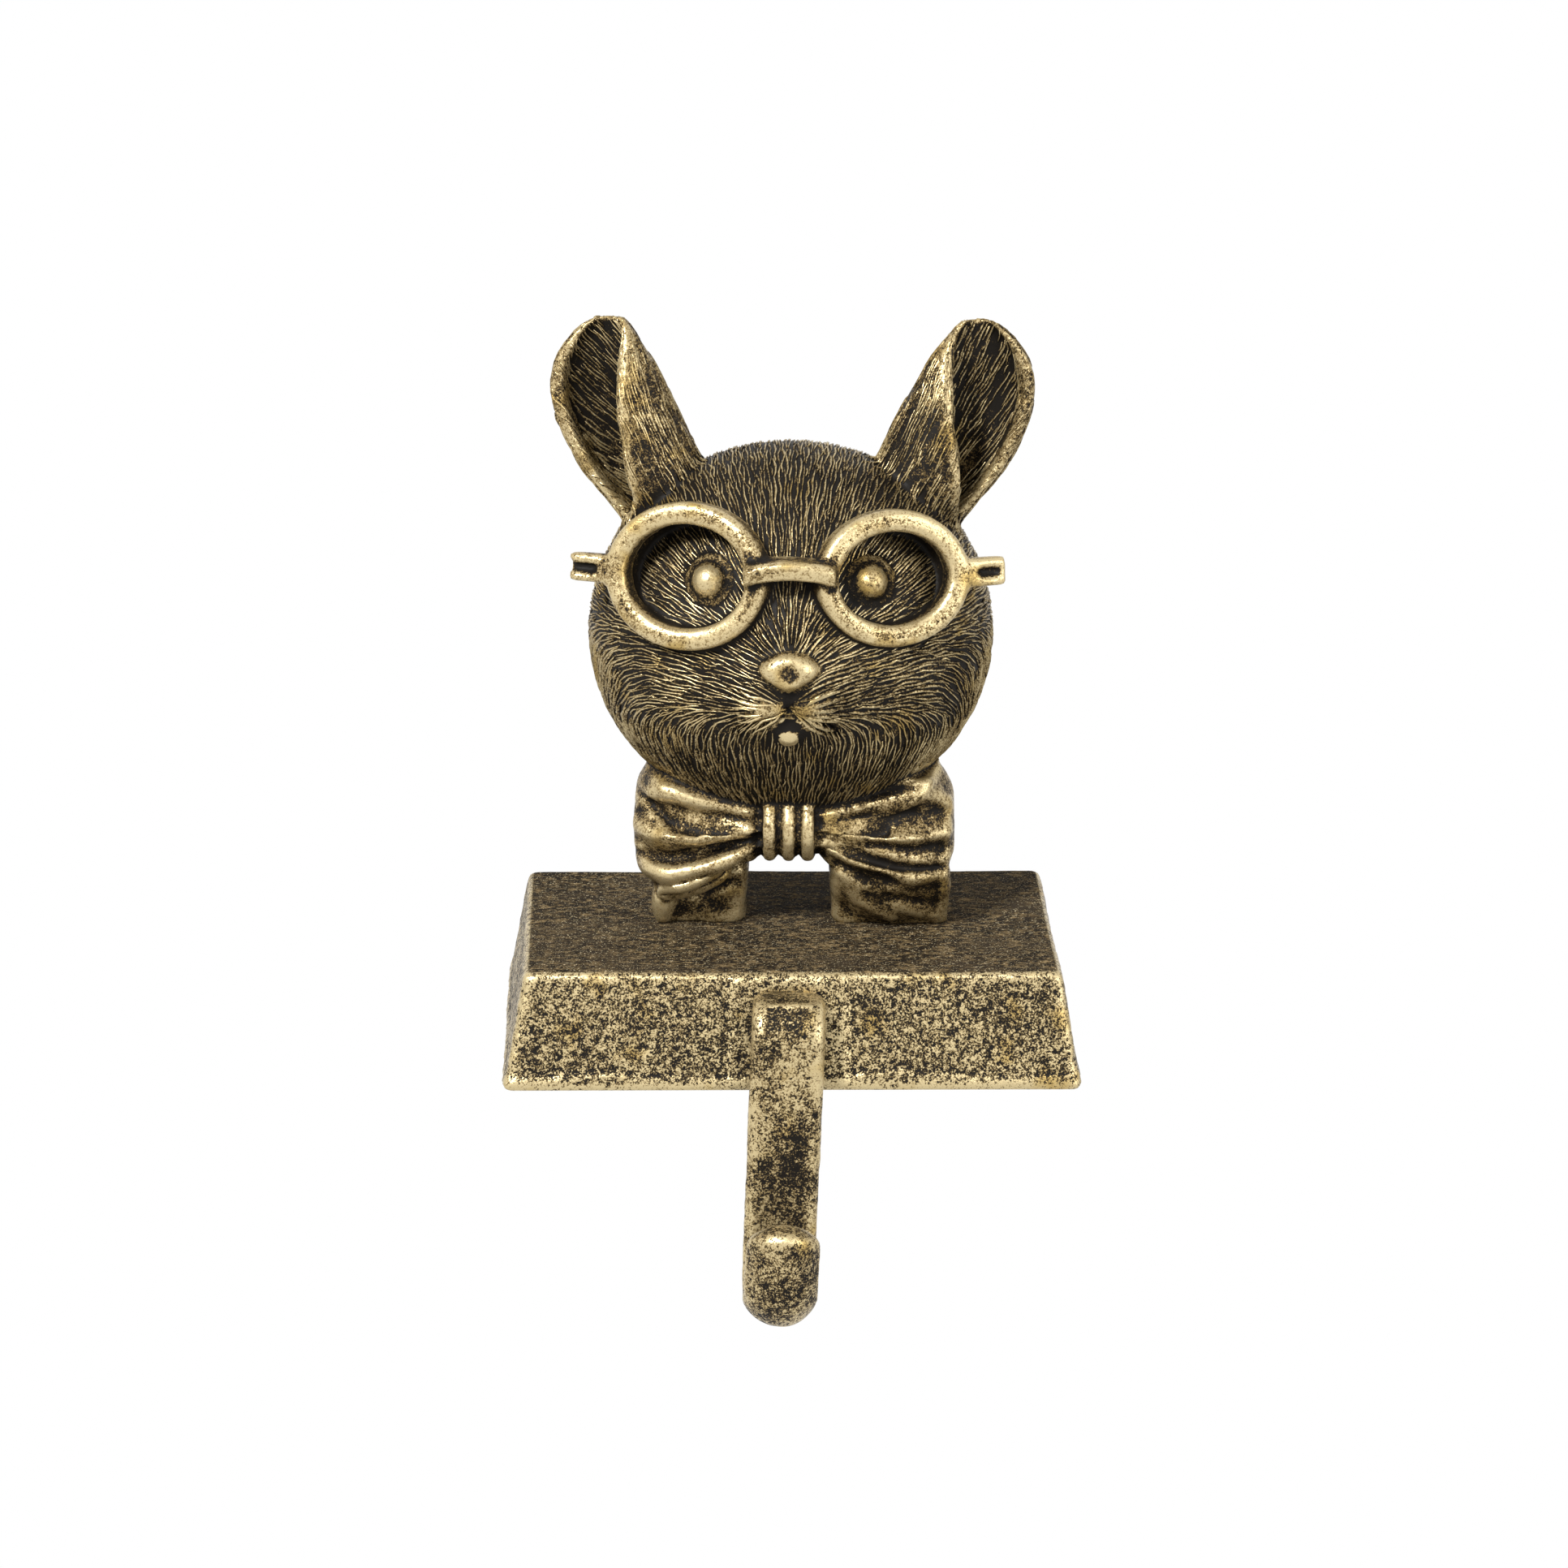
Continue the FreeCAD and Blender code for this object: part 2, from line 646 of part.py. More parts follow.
def make_wing(side):
    """One loop of the bow, its folds fanning out from the knot."""
    wires = []
    for across, front, back, low, high, depth in wing_sections:
        y_mid, y_half = (front + back) / 2, (front - back) / 2
        z_mid, z_half = (low + high) / 2, (high - low) / 2
        points = []
        for i in range(wing_points_round):
            a = 2 * math.pi * i / wing_points_round
            c, n = math.cos(a), math.sin(a)
            forward = math.copysign(abs(c) ** 0.8, c)
            upward = math.copysign(abs(n) ** 0.8, n)
            fold = math.cos(math.pi * wing_fold_count * upward)
            ahead = y_mid + y_half * forward + depth * fold * max(0, forward)
            x = side * across * wing_stretch[side]
            points.append(vec(x, -ahead, block_top_z + z_mid + z_half * upward))
        curve = Part.BSplineCurve()
        curve.interpolate(Points=points, PeriodicFlag=True)
        wires.append(Part.Wire(curve.toShape()))
    return Part.makeLoft(wires, True, False)


def make_knot():
    """Band gathered round the middle of the bow, three ribs standing side by side."""
    centre = vec(0, -knot_setback, block_top_z + knot_rise)
    half = knot_rib_pitch + knot_rib_radius * 0.8
    pieces = [Part.makeCylinder(knot_ring_radius, 2 * half, centre - vec(half, 0, 0), vec(1, 0, 0))]
    for i in (-1, 0, 1):
        rib_centre = centre + vec(i * knot_rib_pitch, 0, 0)
        pieces.append(Part.makeTorus(knot_ring_radius, knot_rib_radius, rib_centre, vec(1, 0, 0)))
    return pieces


def make_foot(side):
    inner, outer = foot_inner, foot_outer[side]
    drape = {-1: left_foot_drape, 1: right_foot_drape}[side]

    def outline(x0, x1, y0, y1, z):
        x0, x1 = sorted((side * x0, side * x1))
        flat = Part.makePlane(x1 - x0, y1 - y0, vec(x0, y0, z))
        prism = flat.extrude(vec(0, 0, 1))
        uprights = [e for e in prism.Edges if abs(e.BoundBox.ZLength - 1) < 1e-3]
        prism = prism.makeFillet(foot_corner_radius, uprights)
        return min(prism.Faces, key=lambda f: f.CenterOfMass.z).OuterWire

    base = outline(inner, outer, -foot_front, -foot_front + foot_depth, block_top_z)
    top = outline(inner - 2.0, outer - foot_top_inset, -foot_front - drape, -foot_front + foot_depth - 1.0,
                  block_top_z + foot_rise)
    return Part.makeLoft([base, top], True, True)


def make_neck():
    base = ellipse_wire(vec(0, neck_setback, block_top_z + neck_bottom_rise), vec(1, 0, 0), vec(0, 1, 0),
                        neck_width / 2, neck_depth / 2)
    return Part.Face(base).extrude(vec(0, 0, neck_height))


def make_bust():
    """The whole figure, which is cast in one piece.

    The nose and the lip join the skull before the mouth is cut, which keeps the surface sound."""
    lip_seat = skin_point(0, lip_rise)
    lip = Part.makeSphere(lip_radius, lip_seat - skin_normal(lip_seat) * (lip_radius * 0.45))
    bust = make_skull().fuse(make_nose()).fuse(lip).cut(mouth_groove())
    for side in (-1, 1):
        lid, eye = make_eye(side)
        band, skirt, hollow = make_ring(side)
        stub, slot = make_temple(side)
        ring = skirt.cut(hollow).fuse(band).fuse(stub).cut(slot)
        for piece in (lid, eye, make_ear(side), ring, make_foot(side)):
            bust = bust.fuse(piece)
    for piece in [make_bridge(), make_neck(), make_wing(-1), make_wing(1)] + make_knot():
        bust = bust.fuse(piece)
    bust.rotate(vec(0, 0, 0), vec(0, 0, 1), -bust_turn)
    for x, y in foot_screw_places:
        hole_depth = foot_screw_bite + blind_hole_end_gap
        bust = bust.cut(Part.makeCylinder(screw_radius + thread_clearance, hole_depth, vec(x, y, block_top_z)))
    return bust


def make_parts():
    block = make_block()
    pieces = {"base_block": block, "felt_pad": make_felt(), "hook": make_hook(block)}
    x, y = tenon_screw_place
    pieces["hook_screw"] = screw(x, y, tenon_underside_z + tenon_screw_bite)
    pieces["bust_screws"] = Part.makeCompound(
        [screw(x, y, block_top_z + foot_screw_bite) for x, y in foot_screw_places])
    pieces["mouse_bust"] = make_bust()
    return pieces


os.makedirs("parts", exist_ok=True)
for name, shape in make_parts().items():
    shape.exportStep(f"parts/{name}.step")
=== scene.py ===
import bmesh
import bpy
import math
import numpy as np
from mathutils import Matrix, Vector, noise
from mathutils.bvhtree import BVHTree


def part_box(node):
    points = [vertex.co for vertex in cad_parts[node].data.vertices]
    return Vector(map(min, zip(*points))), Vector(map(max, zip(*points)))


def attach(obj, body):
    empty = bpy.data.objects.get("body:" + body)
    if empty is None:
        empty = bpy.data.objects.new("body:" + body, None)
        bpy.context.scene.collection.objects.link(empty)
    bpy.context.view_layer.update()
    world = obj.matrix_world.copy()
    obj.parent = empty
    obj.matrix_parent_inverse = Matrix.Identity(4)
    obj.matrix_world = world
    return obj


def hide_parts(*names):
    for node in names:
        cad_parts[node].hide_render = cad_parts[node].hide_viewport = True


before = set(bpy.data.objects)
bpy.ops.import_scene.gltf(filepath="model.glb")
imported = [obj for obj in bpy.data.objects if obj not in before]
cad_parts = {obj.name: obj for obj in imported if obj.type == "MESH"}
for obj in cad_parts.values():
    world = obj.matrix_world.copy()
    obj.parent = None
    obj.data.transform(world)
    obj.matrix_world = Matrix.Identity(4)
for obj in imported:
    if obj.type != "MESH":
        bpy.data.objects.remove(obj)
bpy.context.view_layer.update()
scene = bpy.context.scene
mm = 0.001


# Camera: a long lens a little over a metre away, looking slightly down on the shelf.
aim = Vector((-1.1, 0, 52.4)) * mm
pitch, yaw, roll = math.radians(16.62), math.radians(-1.63), math.radians(0.40)
back = Vector((math.sin(yaw) * math.cos(pitch), -math.cos(yaw) * math.cos(pitch), math.sin(pitch)))
right = Vector((math.cos(yaw), math.sin(yaw), 0))
above = back.cross(right)
camera = bpy.data.objects.new("camera", bpy.data.cameras.new("camera"))
camera.data.sensor_width = 36
camera.data.lens = 36 * 7107 / 1932
turned_right = right * math.cos(roll) + above * math.sin(roll)
turned_up = above * math.cos(roll) - right * math.sin(roll)
place = Matrix((turned_right, turned_up, back)).transposed().to_4x4()
place.translation = aim + back * 1.156
camera.matrix_world = place
scene.collection.objects.link(camera)
scene.camera = camera


# Studio: a white room, a pale floor well below the hook, and two soft lamps.
def lamp(name, spot, size, power):
    """Square soft lamp at spot that faces the figure."""
    data = bpy.data.lights.new(name, "AREA")
    data.energy, data.size = power, size
    obj = bpy.data.objects.new(name, data)
    obj.location = spot
    obj.rotation_euler = (Vector((0, 0, 0.06)) - Vector(spot)).to_track_quat("-Z", "Y").to_euler()
    scene.collection.objects.link(obj)


def seen_white(tree, plain, white):
    """Mix of two shaders, the white one for what the camera sees, plainly or in a shiny part."""
    rays = tree.nodes.new("ShaderNodeLightPath")
    shiny = tree.nodes.new("ShaderNodeMath")
    shiny.operation = "MAXIMUM"
    tree.links.new(rays.outputs["Is Glossy Ray"], shiny.inputs[0])
    tree.links.new(rays.outputs["Is Transmission Ray"], shiny.inputs[1])
    seen = tree.nodes.new("ShaderNodeMath")
    seen.operation = "MAXIMUM"
    tree.links.new(rays.outputs["Is Camera Ray"], seen.inputs[0])
    tree.links.new(shiny.outputs[0], seen.inputs[1])
    mix = tree.nodes.new("ShaderNodeMixShader")
    tree.links.new(seen.outputs[0], mix.inputs[0])
    tree.links.new(plain.outputs[0], mix.inputs[1])
    tree.links.new(white.outputs[0], mix.inputs[2])
    return mix


lamp("key", (-0.5, -0.75, 0.8), 0.22, 19)
lamp("fill", (0.75, -0.7, 0.35), 0.6, 5)
scene.view_settings.view_transform = "Standard"
world = bpy.data.worlds.new("studio")
scene.world = world
world.use_nodes = True
sky = world.node_tree
around = sky.nodes["Background"]
around.inputs["Color"].default_value = (1, 1, 1, 1)
around.inputs["Strength"].default_value = 0.36
white_room = sky.nodes.new("ShaderNodeBackground")
white_room.inputs["Color"].default_value = (1, 1, 1, 1)
white_room.inputs["Strength"].default_value = 1
sky.links.new(seen_white(sky, around, white_room).outputs[0], sky.nodes["World Output"].inputs[0])
sheet = bmesh.new()
bmesh.ops.create_grid(sheet, x_segments=1, y_segments=1, size=4)
bmesh.ops.translate(sheet, verts=sheet.verts, vec=(0, 0, -0.35))
floor = bpy.data.objects.new("floor", bpy.data.meshes.new("floor"))
sheet.to_mesh(floor.data)
sheet.free()
scene.collection.objects.link(floor)
pale = bpy.data.materials.new("pale_floor")
pale.use_nodes = True
pale.node_tree.nodes["Principled BSDF"].inputs["Base Color"].default_value = (0.9, 0.9, 0.9, 1)
pale.node_tree.nodes["Principled BSDF"].inputs["Roughness"].default_value = 0.9
floor_white = pale.node_tree.nodes.new("ShaderNodeEmission")
floor_mix = seen_white(pale.node_tree, pale.node_tree.nodes["Principled BSDF"], floor_white)
pale.node_tree.links.new(floor_mix.outputs[0], pale.node_tree.nodes["Material Output"].inputs[0])
floor.data.materials.append(pale)


# Base block: sand-cast iron, painted black, with gold rubbed over whatever stands proud.
# Its front is pitted and dented, its top is smoother and brown, and its lower edge is dressed.
def fine_copy(node, name, cell, lobes=()):
    """Object with the shape of a CAD node, and of lobes that grow out of it, in one even mesh."""
    shape = bmesh.new()
    shape.from_mesh(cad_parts[node].data)
    bmesh.ops.remove_doubles(shape, verts=shape.verts, dist=2e-6)
    for place in lobes:
        bmesh.ops.create_uvsphere(shape, u_segments=24, v_segments=14, radius=mm, matrix=place)
    data = bpy.data.meshes.new(name)
    shape.to_mesh(data)
    shape.free()
    obj = bpy.data.objects.new(name, data)
    scene.collection.objects.link(obj)
    remesh = obj.modifiers.new("even_cells", "REMESH")
    remesh.mode = "VOXEL"
    remesh.voxel_size = cell
    bpy.context.view_layer.update()
    even = bpy.data.meshes.new_from_object(obj.evaluated_get(bpy.context.evaluated_depsgraph_get()))
    obj.modifiers.clear()
    obj.data = even
    even.name = name
    even.shade_smooth()
    return obj


def points_of(mesh):
    places = np.zeros(len(mesh.vertices) * 3, np.float32)
    mesh.vertices.foreach_get("co", places)
    return places.reshape(-1, 3).astype(float)


def normals_of(mesh):
    ways = np.zeros(len(mesh.vertices) * 3, np.float32)
    mesh.vertex_normals.foreach_get("vector", ways)
    return ways.reshape(-1, 3).astype(float)


def evened(mesh, places, times):
    """The places after each has moved halfway to the middle of its neighbours, some times over."""
    ends = np.zeros(len(mesh.edges) * 2, np.int32)
    mesh.edges.foreach_get("vertices", ends)
    a, b = ends.reshape(-1, 2).T
    count = np.bincount(a, minlength=len(places)) + np.bincount(b, minlength=len(places))
    count = np.maximum(count, 1)[:, None]
    for _ in range(times):
        total = np.zeros_like(places)
        for axis in range(places.shape[1]):
            total[:, axis] = np.bincount(a, places[b, axis], len(places))
            total[:, axis] += np.bincount(b, places[a, axis], len(places))
        places = places * 0.5 + total / count * 0.5
    return places


def put(mesh, places):
    mesh.vertices.foreach_set("co", places.astype(np.float32).ravel())
    mesh.update()


def mark_raised(mesh, reach, scale):
    """Attribute raised: 0.5 on the flat, up to 1 on crests and edges, down to 0 in hollows."""
    places = points_of(mesh)
    height = ((places - evened(mesh, places, reach)) * normals_of(mesh)).sum(1) / scale
    raised = mesh.attributes.new("raised", "FLOAT", "POINT")
    raised.data.foreach_set("value", np.clip(0.5 + 0.5 * height, 0, 1).astype(np.float32))


def lumps(places, size, seed):
    """Smooth noise from -1 to 1 with lumps of about that size."""
    shift = Vector((seed * 7.3, seed * 3.1, seed * 5.7))
    return np.array([noise.noise(Vector(p) / size + shift) for p in places])


def pits(places, pitch, radius, seed):
    """How deep each point lies in a scattered round pit, from 0 to 1."""
    shift = Vector((seed * 2.3, seed * 9.1, seed * 4.7))
    near = np.array([noise.voronoi(Vector(p) / pitch + shift)[0][0] for p in places])
    return np.clip(1 - near * pitch / radius, 0, 1)


def group(name, inputs, outputs):
    """Empty shader node group with plain number inputs; returns it, its input and output nodes."""
    tree = bpy.data.node_groups.new(name, "ShaderNodeTree")
    for label, value in inputs.items():
        socket = tree.interface.new_socket(label, in_out="INPUT", socket_type="NodeSocketFloat")
        socket.default_value = value
    for label, kind in outputs.items():
        tree.interface.new_socket(label, in_out="OUTPUT", socket_type=kind)
    return tree, tree.nodes.new("NodeGroupInput"), tree.nodes.new("NodeGroupOutput")


def sum_of(tree, *terms):
    """Sum of (socket or number, factor) pairs."""
    total = None
    for socket, factor in terms:
        step = tree.nodes.new("ShaderNodeMath")
        step.operation = "MULTIPLY_ADD"
        if isinstance(socket, (int, float)):
            step.inputs[0].default_value = socket
        else:
            tree.links.new(socket, step.inputs[0])
        if isinstance(factor, (int, float)):
            step.inputs[1].default_value = factor
        else:
            tree.links.new(factor, step.inputs[1])
        step.inputs[2].default_value = 0
        if total is not None:
            tree.links.new(total, step.inputs[2])
        total = step.outputs[0]
    return total


def ramp(tree, value, low, high):
    """Smooth step of a socket from 0 at low to 1 at high."""
    step = tree.nodes.new("ShaderNodeMapRange")
    step.interpolation_type = "SMOOTHSTEP"
    step.inputs["From Min"].default_value = low
    step.inputs["From Max"].default_value = high
    tree.links.new(value, step.inputs["Value"])
    return step.outputs["Result"]


def colours(tree, share, first, second):
    """Mix of two colours by a share; each is a socket or three numbers."""
    mix = tree.nodes.new("ShaderNodeMix")
    mix.data_type = "RGBA"
    tree.links.new(share, mix.inputs["Factor"])
    for slot, colour in (("A", first), ("B", second)):
        socket = [s for s in mix.inputs if s.name == slot and s.type == "RGBA"][0]
        if isinstance(colour, tuple):
            socket.default_value = (*colour, 1)
        else:
            tree.links.new(colour, socket)
    return [s for s in mix.outputs if s.type == "RGBA"][0]


def grain(tree, scale, detail, rough, stretch=None):
    """Noise on the object's own coordinates, about 0.5 on average."""
    where = tree.nodes.new("ShaderNodeTexCoord")
    spot = where.outputs["Object"]
    if stretch:
        mapping = tree.nodes.new("ShaderNodeMapping")
        mapping.inputs["Scale"].default_value = stretch
        tree.links.new(spot, mapping.inputs["Vector"])
        spot = mapping.outputs["Vector"]
    tex = tree.nodes.new("ShaderNodeTexNoise")
    tex.inputs["Scale"].default_value = scale
    tex.inputs["Detail"].default_value = detail
    tex.inputs["Roughness"].default_value = rough
    tree.links.new(spot, tex.inputs["Vector"])
    return tex.outputs["Fac"]


black = (0.008, 0.0065, 0.005)
deep_gold = (0.17, 0.11, 0.038)
bright_gold = (0.60, 0.485, 0.270)
amber = (0.47, 0.33, 0.115)
patina, given, made = group(
    "gold_rubbed_over_black",
    {"Raised": 0.5, "Gold": 0.0, "Patches": 1.0, "Speckle": 1.0, "Sharpness": 4.0},
    {"Color": "NodeSocketColor", "Roughness": "NodeSocketFloat", "Metallic": "NodeSocketFloat",
     "Height": "NodeSocketFloat"},
)
patches = grain(patina, 75, 3, 0.6)
mottle = grain(patina, 1050, 5, 0.72)
fleck = grain(patina, 2700, 3, 0.7)
amber_patches = grain(patina, 110, 2, 0.5)
wear = sum_of(
    patina,
    (given.outputs["Raised"], 1.0),
    (given.outputs["Gold"], 1.0),
    (sum_of(patina, (patches, 1.0), (-0.5, 1.0)), given.outputs["Patches"]),
    (sum_of(patina, (mottle, 1.6), (-0.8, 1.0)), given.outputs["Speckle"]),
    (sum_of(patina, (fleck, 2.0), (-1.0, 1.0)), given.outputs["Speckle"]),
    (-0.5, 1.0),
)
wear = sum_of(patina, (wear, given.outputs["Sharpness"]), (0.5, 1.0))
gold_share = ramp(patina, wear, 0.0, 1.2)
full_share = ramp(patina, wear, 0.7, 2.4)
tone = colours(patina, gold_share, black, deep_gold)
leaf = colours(patina, ramp(patina, amber_patches, 0.54, 0.72), bright_gold, amber)
tone = colours(patina, full_share, tone, leaf)
patina.links.new(tone, made.inputs["Color"])
patina.links.new(sum_of(patina, (gold_share, -0.20), (mottle, 0.34), (0.32, 1.0)), made.inputs["Roughness"])
patina.links.new(sum_of(patina, (full_share, 0.55), (gold_share, 0.2)), made.inputs["Metallic"])
patina.links.new(sum_of(patina, (gold_share, 0.35), (fleck, 0.6), (mottle, 0.5)), made.inputs["Height"])


def rubbed_finish(name, gold, patch, speckle, sharp, bump, tint=None):
    """Material of black paint with gold over it; where an attribute raised is high, more gold."""
    material = bpy.data.materials.new(name)
    material.use_nodes = True
    tree = material.node_tree
    shader = tree.nodes["Principled BSDF"]
    coat = tree.nodes.new("ShaderNodeGroup")
    coat.node_tree = patina
    raised = tree.nodes.new("ShaderNodeAttribute")
    raised.attribute_name = "raised"
    tree.links.new(raised.outputs["Fac"], coat.inputs["Raised"])
    for label, value in {"Gold": gold, "Patches": patch, "Speckle": speckle, "Sharpness": sharp}.items():
        coat.inputs[label].default_value = value
    colour, metal, dull = coat.outputs["Color"], coat.outputs["Metallic"], coat.outputs["Roughness"]
    if tint:
        colour, metal, dull = tint(tree, colour, metal, dull)
    tree.links.new(colour, shader.inputs["Base Color"])
    tree.links.new(dull, shader.inputs["Roughness"])
    tree.links.new(metal, shader.inputs["Metallic"])
    shader.inputs["Specular IOR Level"].default_value = 0.10
    rough = tree.nodes.new("ShaderNodeBump")
    rough.inputs["Strength"].default_value = bump
    rough.inputs["Distance"].default_value = 0.12 * mm
    tree.links.new(coat.outputs["Height"], rough.inputs["Height"])
    tree.links.new(rough.outputs["Normal"], shader.inputs["Normal"])
    return material


block = fine_copy("base_block", "base_block_casting", 0.72 * mm)
low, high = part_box("base_block")
spots = evened(block.data, points_of(block.data), 1)
ways = normals_of(block.data)
wall = np.clip(1 - np.abs(ways[:, 2]) * 1.4, 0, 1)
rise = (spots[:, 2] - low.z) / mm
dressed = 3.6 + 1.2 * lumps(spots * (1, 1, 0), 14 * mm, 3)
step = np.clip((dressed - rise) / 0.9, 0, 1) * wall
push = (
    lumps(spots, 22 * mm, 1) * 0.28
    + lumps(spots, 5 * mm, 2) * (0.12 * wall + 0.03)
    + lumps(spots, 1.7 * mm, 4) * (0.13 * wall + 0.035)
    - pits(spots, 3.1 * mm, 0.8 * mm, 5) * 0.45 * wall
    - pits(spots, 9.5 * mm, 1.5 * mm, 6) * 0.5 * wall
    + step * 0.4
)
push[ways[:, 2] < -0.7] = 0
put(block.data, spots + ways * (push * mm)[:, None])
mark_raised(block.data, 5, 0.19 * mm)


def browned_top(tree, colour, metal, dull):
    """The top lies in dull brown, with only a breath of gold in fine streaks."""
    facing = tree.nodes.new("ShaderNodeNewGeometry")
    parts = tree.nodes.new("ShaderNodeSeparateXYZ")
    tree.links.new(facing.outputs["Normal"], parts.inputs[0])
    level = ramp(tree, parts.outputs["Z"], 0.82, 0.97)
    streaks = grain(tree, 480, 6, 0.85, (1.0, 1.8, 1.0))
    clouds = grain(tree, 45, 3, 0.6)
    brown = colours(tree, ramp(tree, streaks, 0.47, 0.66), (0.010, 0.007, 0.004), (0.31, 0.215, 0.10))
    brown = colours(tree, ramp(tree, clouds, 0.46, 0.80), brown, (0.050, 0.036, 0.021))
    sparks = grain(tree, 2600, 2, 0.6)
    brown = colours(tree, ramp(tree, sparks, 0.61, 0.68), brown, (0.60, 0.50, 0.31))
    metal = sum_of(tree, (metal, 1.0), (level, -0.75))
    return colours(tree, level, colour, brown), metal, sum_of(tree, (dull, 1.0), (level, 0.5))


block.data.materials.append(rubbed_finish("cast_block_finish", 0.05, 0.5, 1.5, 4.6, 1.0, browned_top))
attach(block, "root")
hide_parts("base_block")


# Felt: black pad glued under the block, so that it doesn't scratch the mantel.
felt = bpy.data.materials.new("black_felt")
felt.use_nodes = True
nap = grain(felt.node_tree, 1800, 6, 0.8)
felt_shader = felt.node_tree.nodes["Principled BSDF"]
felt.node_tree.links.new(colours(felt.node_tree, nap, (0.008, 0.008, 0.009), (0.035, 0.034, 0.036)),
                         felt_shader.inputs["Base Color"])
felt_shader.inputs["Roughness"].default_value = 1
felt_shader.inputs["Specular IOR Level"].default_value = 0.02
felt_shader.inputs["Sheen Weight"].default_value = 0.08
fluff = felt.node_tree.nodes.new("ShaderNodeBump")
fluff.inputs["Distance"].default_value = 0.2 * mm
felt.node_tree.links.new(nap, fluff.inputs["Height"])
felt.node_tree.links.new(fluff.outputs["Normal"], felt_shader.inputs["Normal"])


# Screws: three zinc-plated cap screws in the block, hidden behind the felt.
zinc = bpy.data.materials.new("zinc_plate")
zinc.use_nodes = True
zinc_shader = zinc.node_tree.nodes["Principled BSDF"]
spangle = grain(zinc.node_tree, 900, 4, 0.6)
zinc.node_tree.links.new(colours(zinc.node_tree, spangle, (0.42, 0.43, 0.45), (0.66, 0.66, 0.64)),
                         zinc_shader.inputs["Base Color"])
zinc.node_tree.links.new(sum_of(zinc.node_tree, (spangle, 0.25), (0.25, 1.0)),
                         zinc_shader.inputs["Roughness"])
zinc_shader.inputs["Metallic"].default_value = 1
for node, finish in (("felt_pad", felt), ("hook_screw", zinc), ("bust_screws", zinc)):
    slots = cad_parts[node].data.materials
    slots.clear()
    slots.append(finish)


# Hook: a cast iron bar bent to a J, let into the front of the block and screwed from below.
# Handling has rubbed its edges and its tip bright.
hook = fine_copy("hook", "hook_casting", 0.5 * mm)
spots = evened(hook.data, points_of(hook.data), 2)
ways = normals_of(hook.data)
push = lumps(spots, 9 * mm, 11) * 0.22 + lumps(spots, 2.6 * mm, 12) * 0.11
push -= pits(spots, 5.5 * mm, 0.9 * mm, 13) * 0.3
put(hook.data, spots + ways * (push * mm)[:, None])
mark_raised(hook.data, 12, 0.16 * mm)
hook.data.materials.append(rubbed_finish("cast_hook_finish", -0.06, 1.8, 1.35, 4.0, 0.9))
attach(hook, "root")
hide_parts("hook")


# Mouse bust: one resin casting, black with gold brushed over it. Its folds, edges and lines
# are carved into the model that it was cast from.
bust_turn = math.radians(-2.2)
head_centre = np.array((0, 3, 84.0))
head_half = np.array((39.9, 31.0, 37.5))
bow_top = 61
muzzle_back = -15
eye_aside, eye_rise = 15.4, 100.0


def unturned(places):
    """Metres in the object's frame to millimetres in the bust's own, which faces straight ahead."""
    c, s = math.cos(-bust_turn), math.sin(-bust_turn)
    x, y, z = (places / mm).T
    return np.stack((x * c - y * s, x * s + y * c, z), axis=1)


def turned(places):
    c, s = math.cos(bust_turn), math.sin(bust_turn)
    x, y, z = (places * mm).T
    return np.stack((x * c - y * s, x * s + y * c, z), axis=1)


def skull_radius(ways):
    """Distance from the head's centre to its skin along unit vectors, in millimetres. Each swell
    has its direction, its height as a share of the radius, and its spread in degrees."""
    plain = 1 / np.sqrt(((ways / head_half) ** 2).sum(1))
    folded = ways * (np.sign(ways[:, :1]) * (1, 0, 0) + (0, 1, 1))
    swell = np.zeros(len(ways))
    for centre, height, spread in (
        ((0, -1, -0.08), 0.10, 25),
        ((0, -1, 0.24), 0.035, 13),
        ((0.62, -0.62, -0.42), 0.038, 26),
        ((0.30, -0.80, 0.75), 0.03, 22),
        ((0.48, -0.80, 0.46), -0.05, 14),
        ((0.20, -0.95, -0.22), 0.05, 11),
        ((0, -0.72, -0.80), -0.02, 20),
    ):
        centre = np.array(centre) / np.linalg.norm(centre)
        angle = np.degrees(np.arccos(np.clip(folded @ centre, -1, 1)))
        swell += height * np.exp(-((angle / spread) ** 2))
    return plain * (1 + swell)


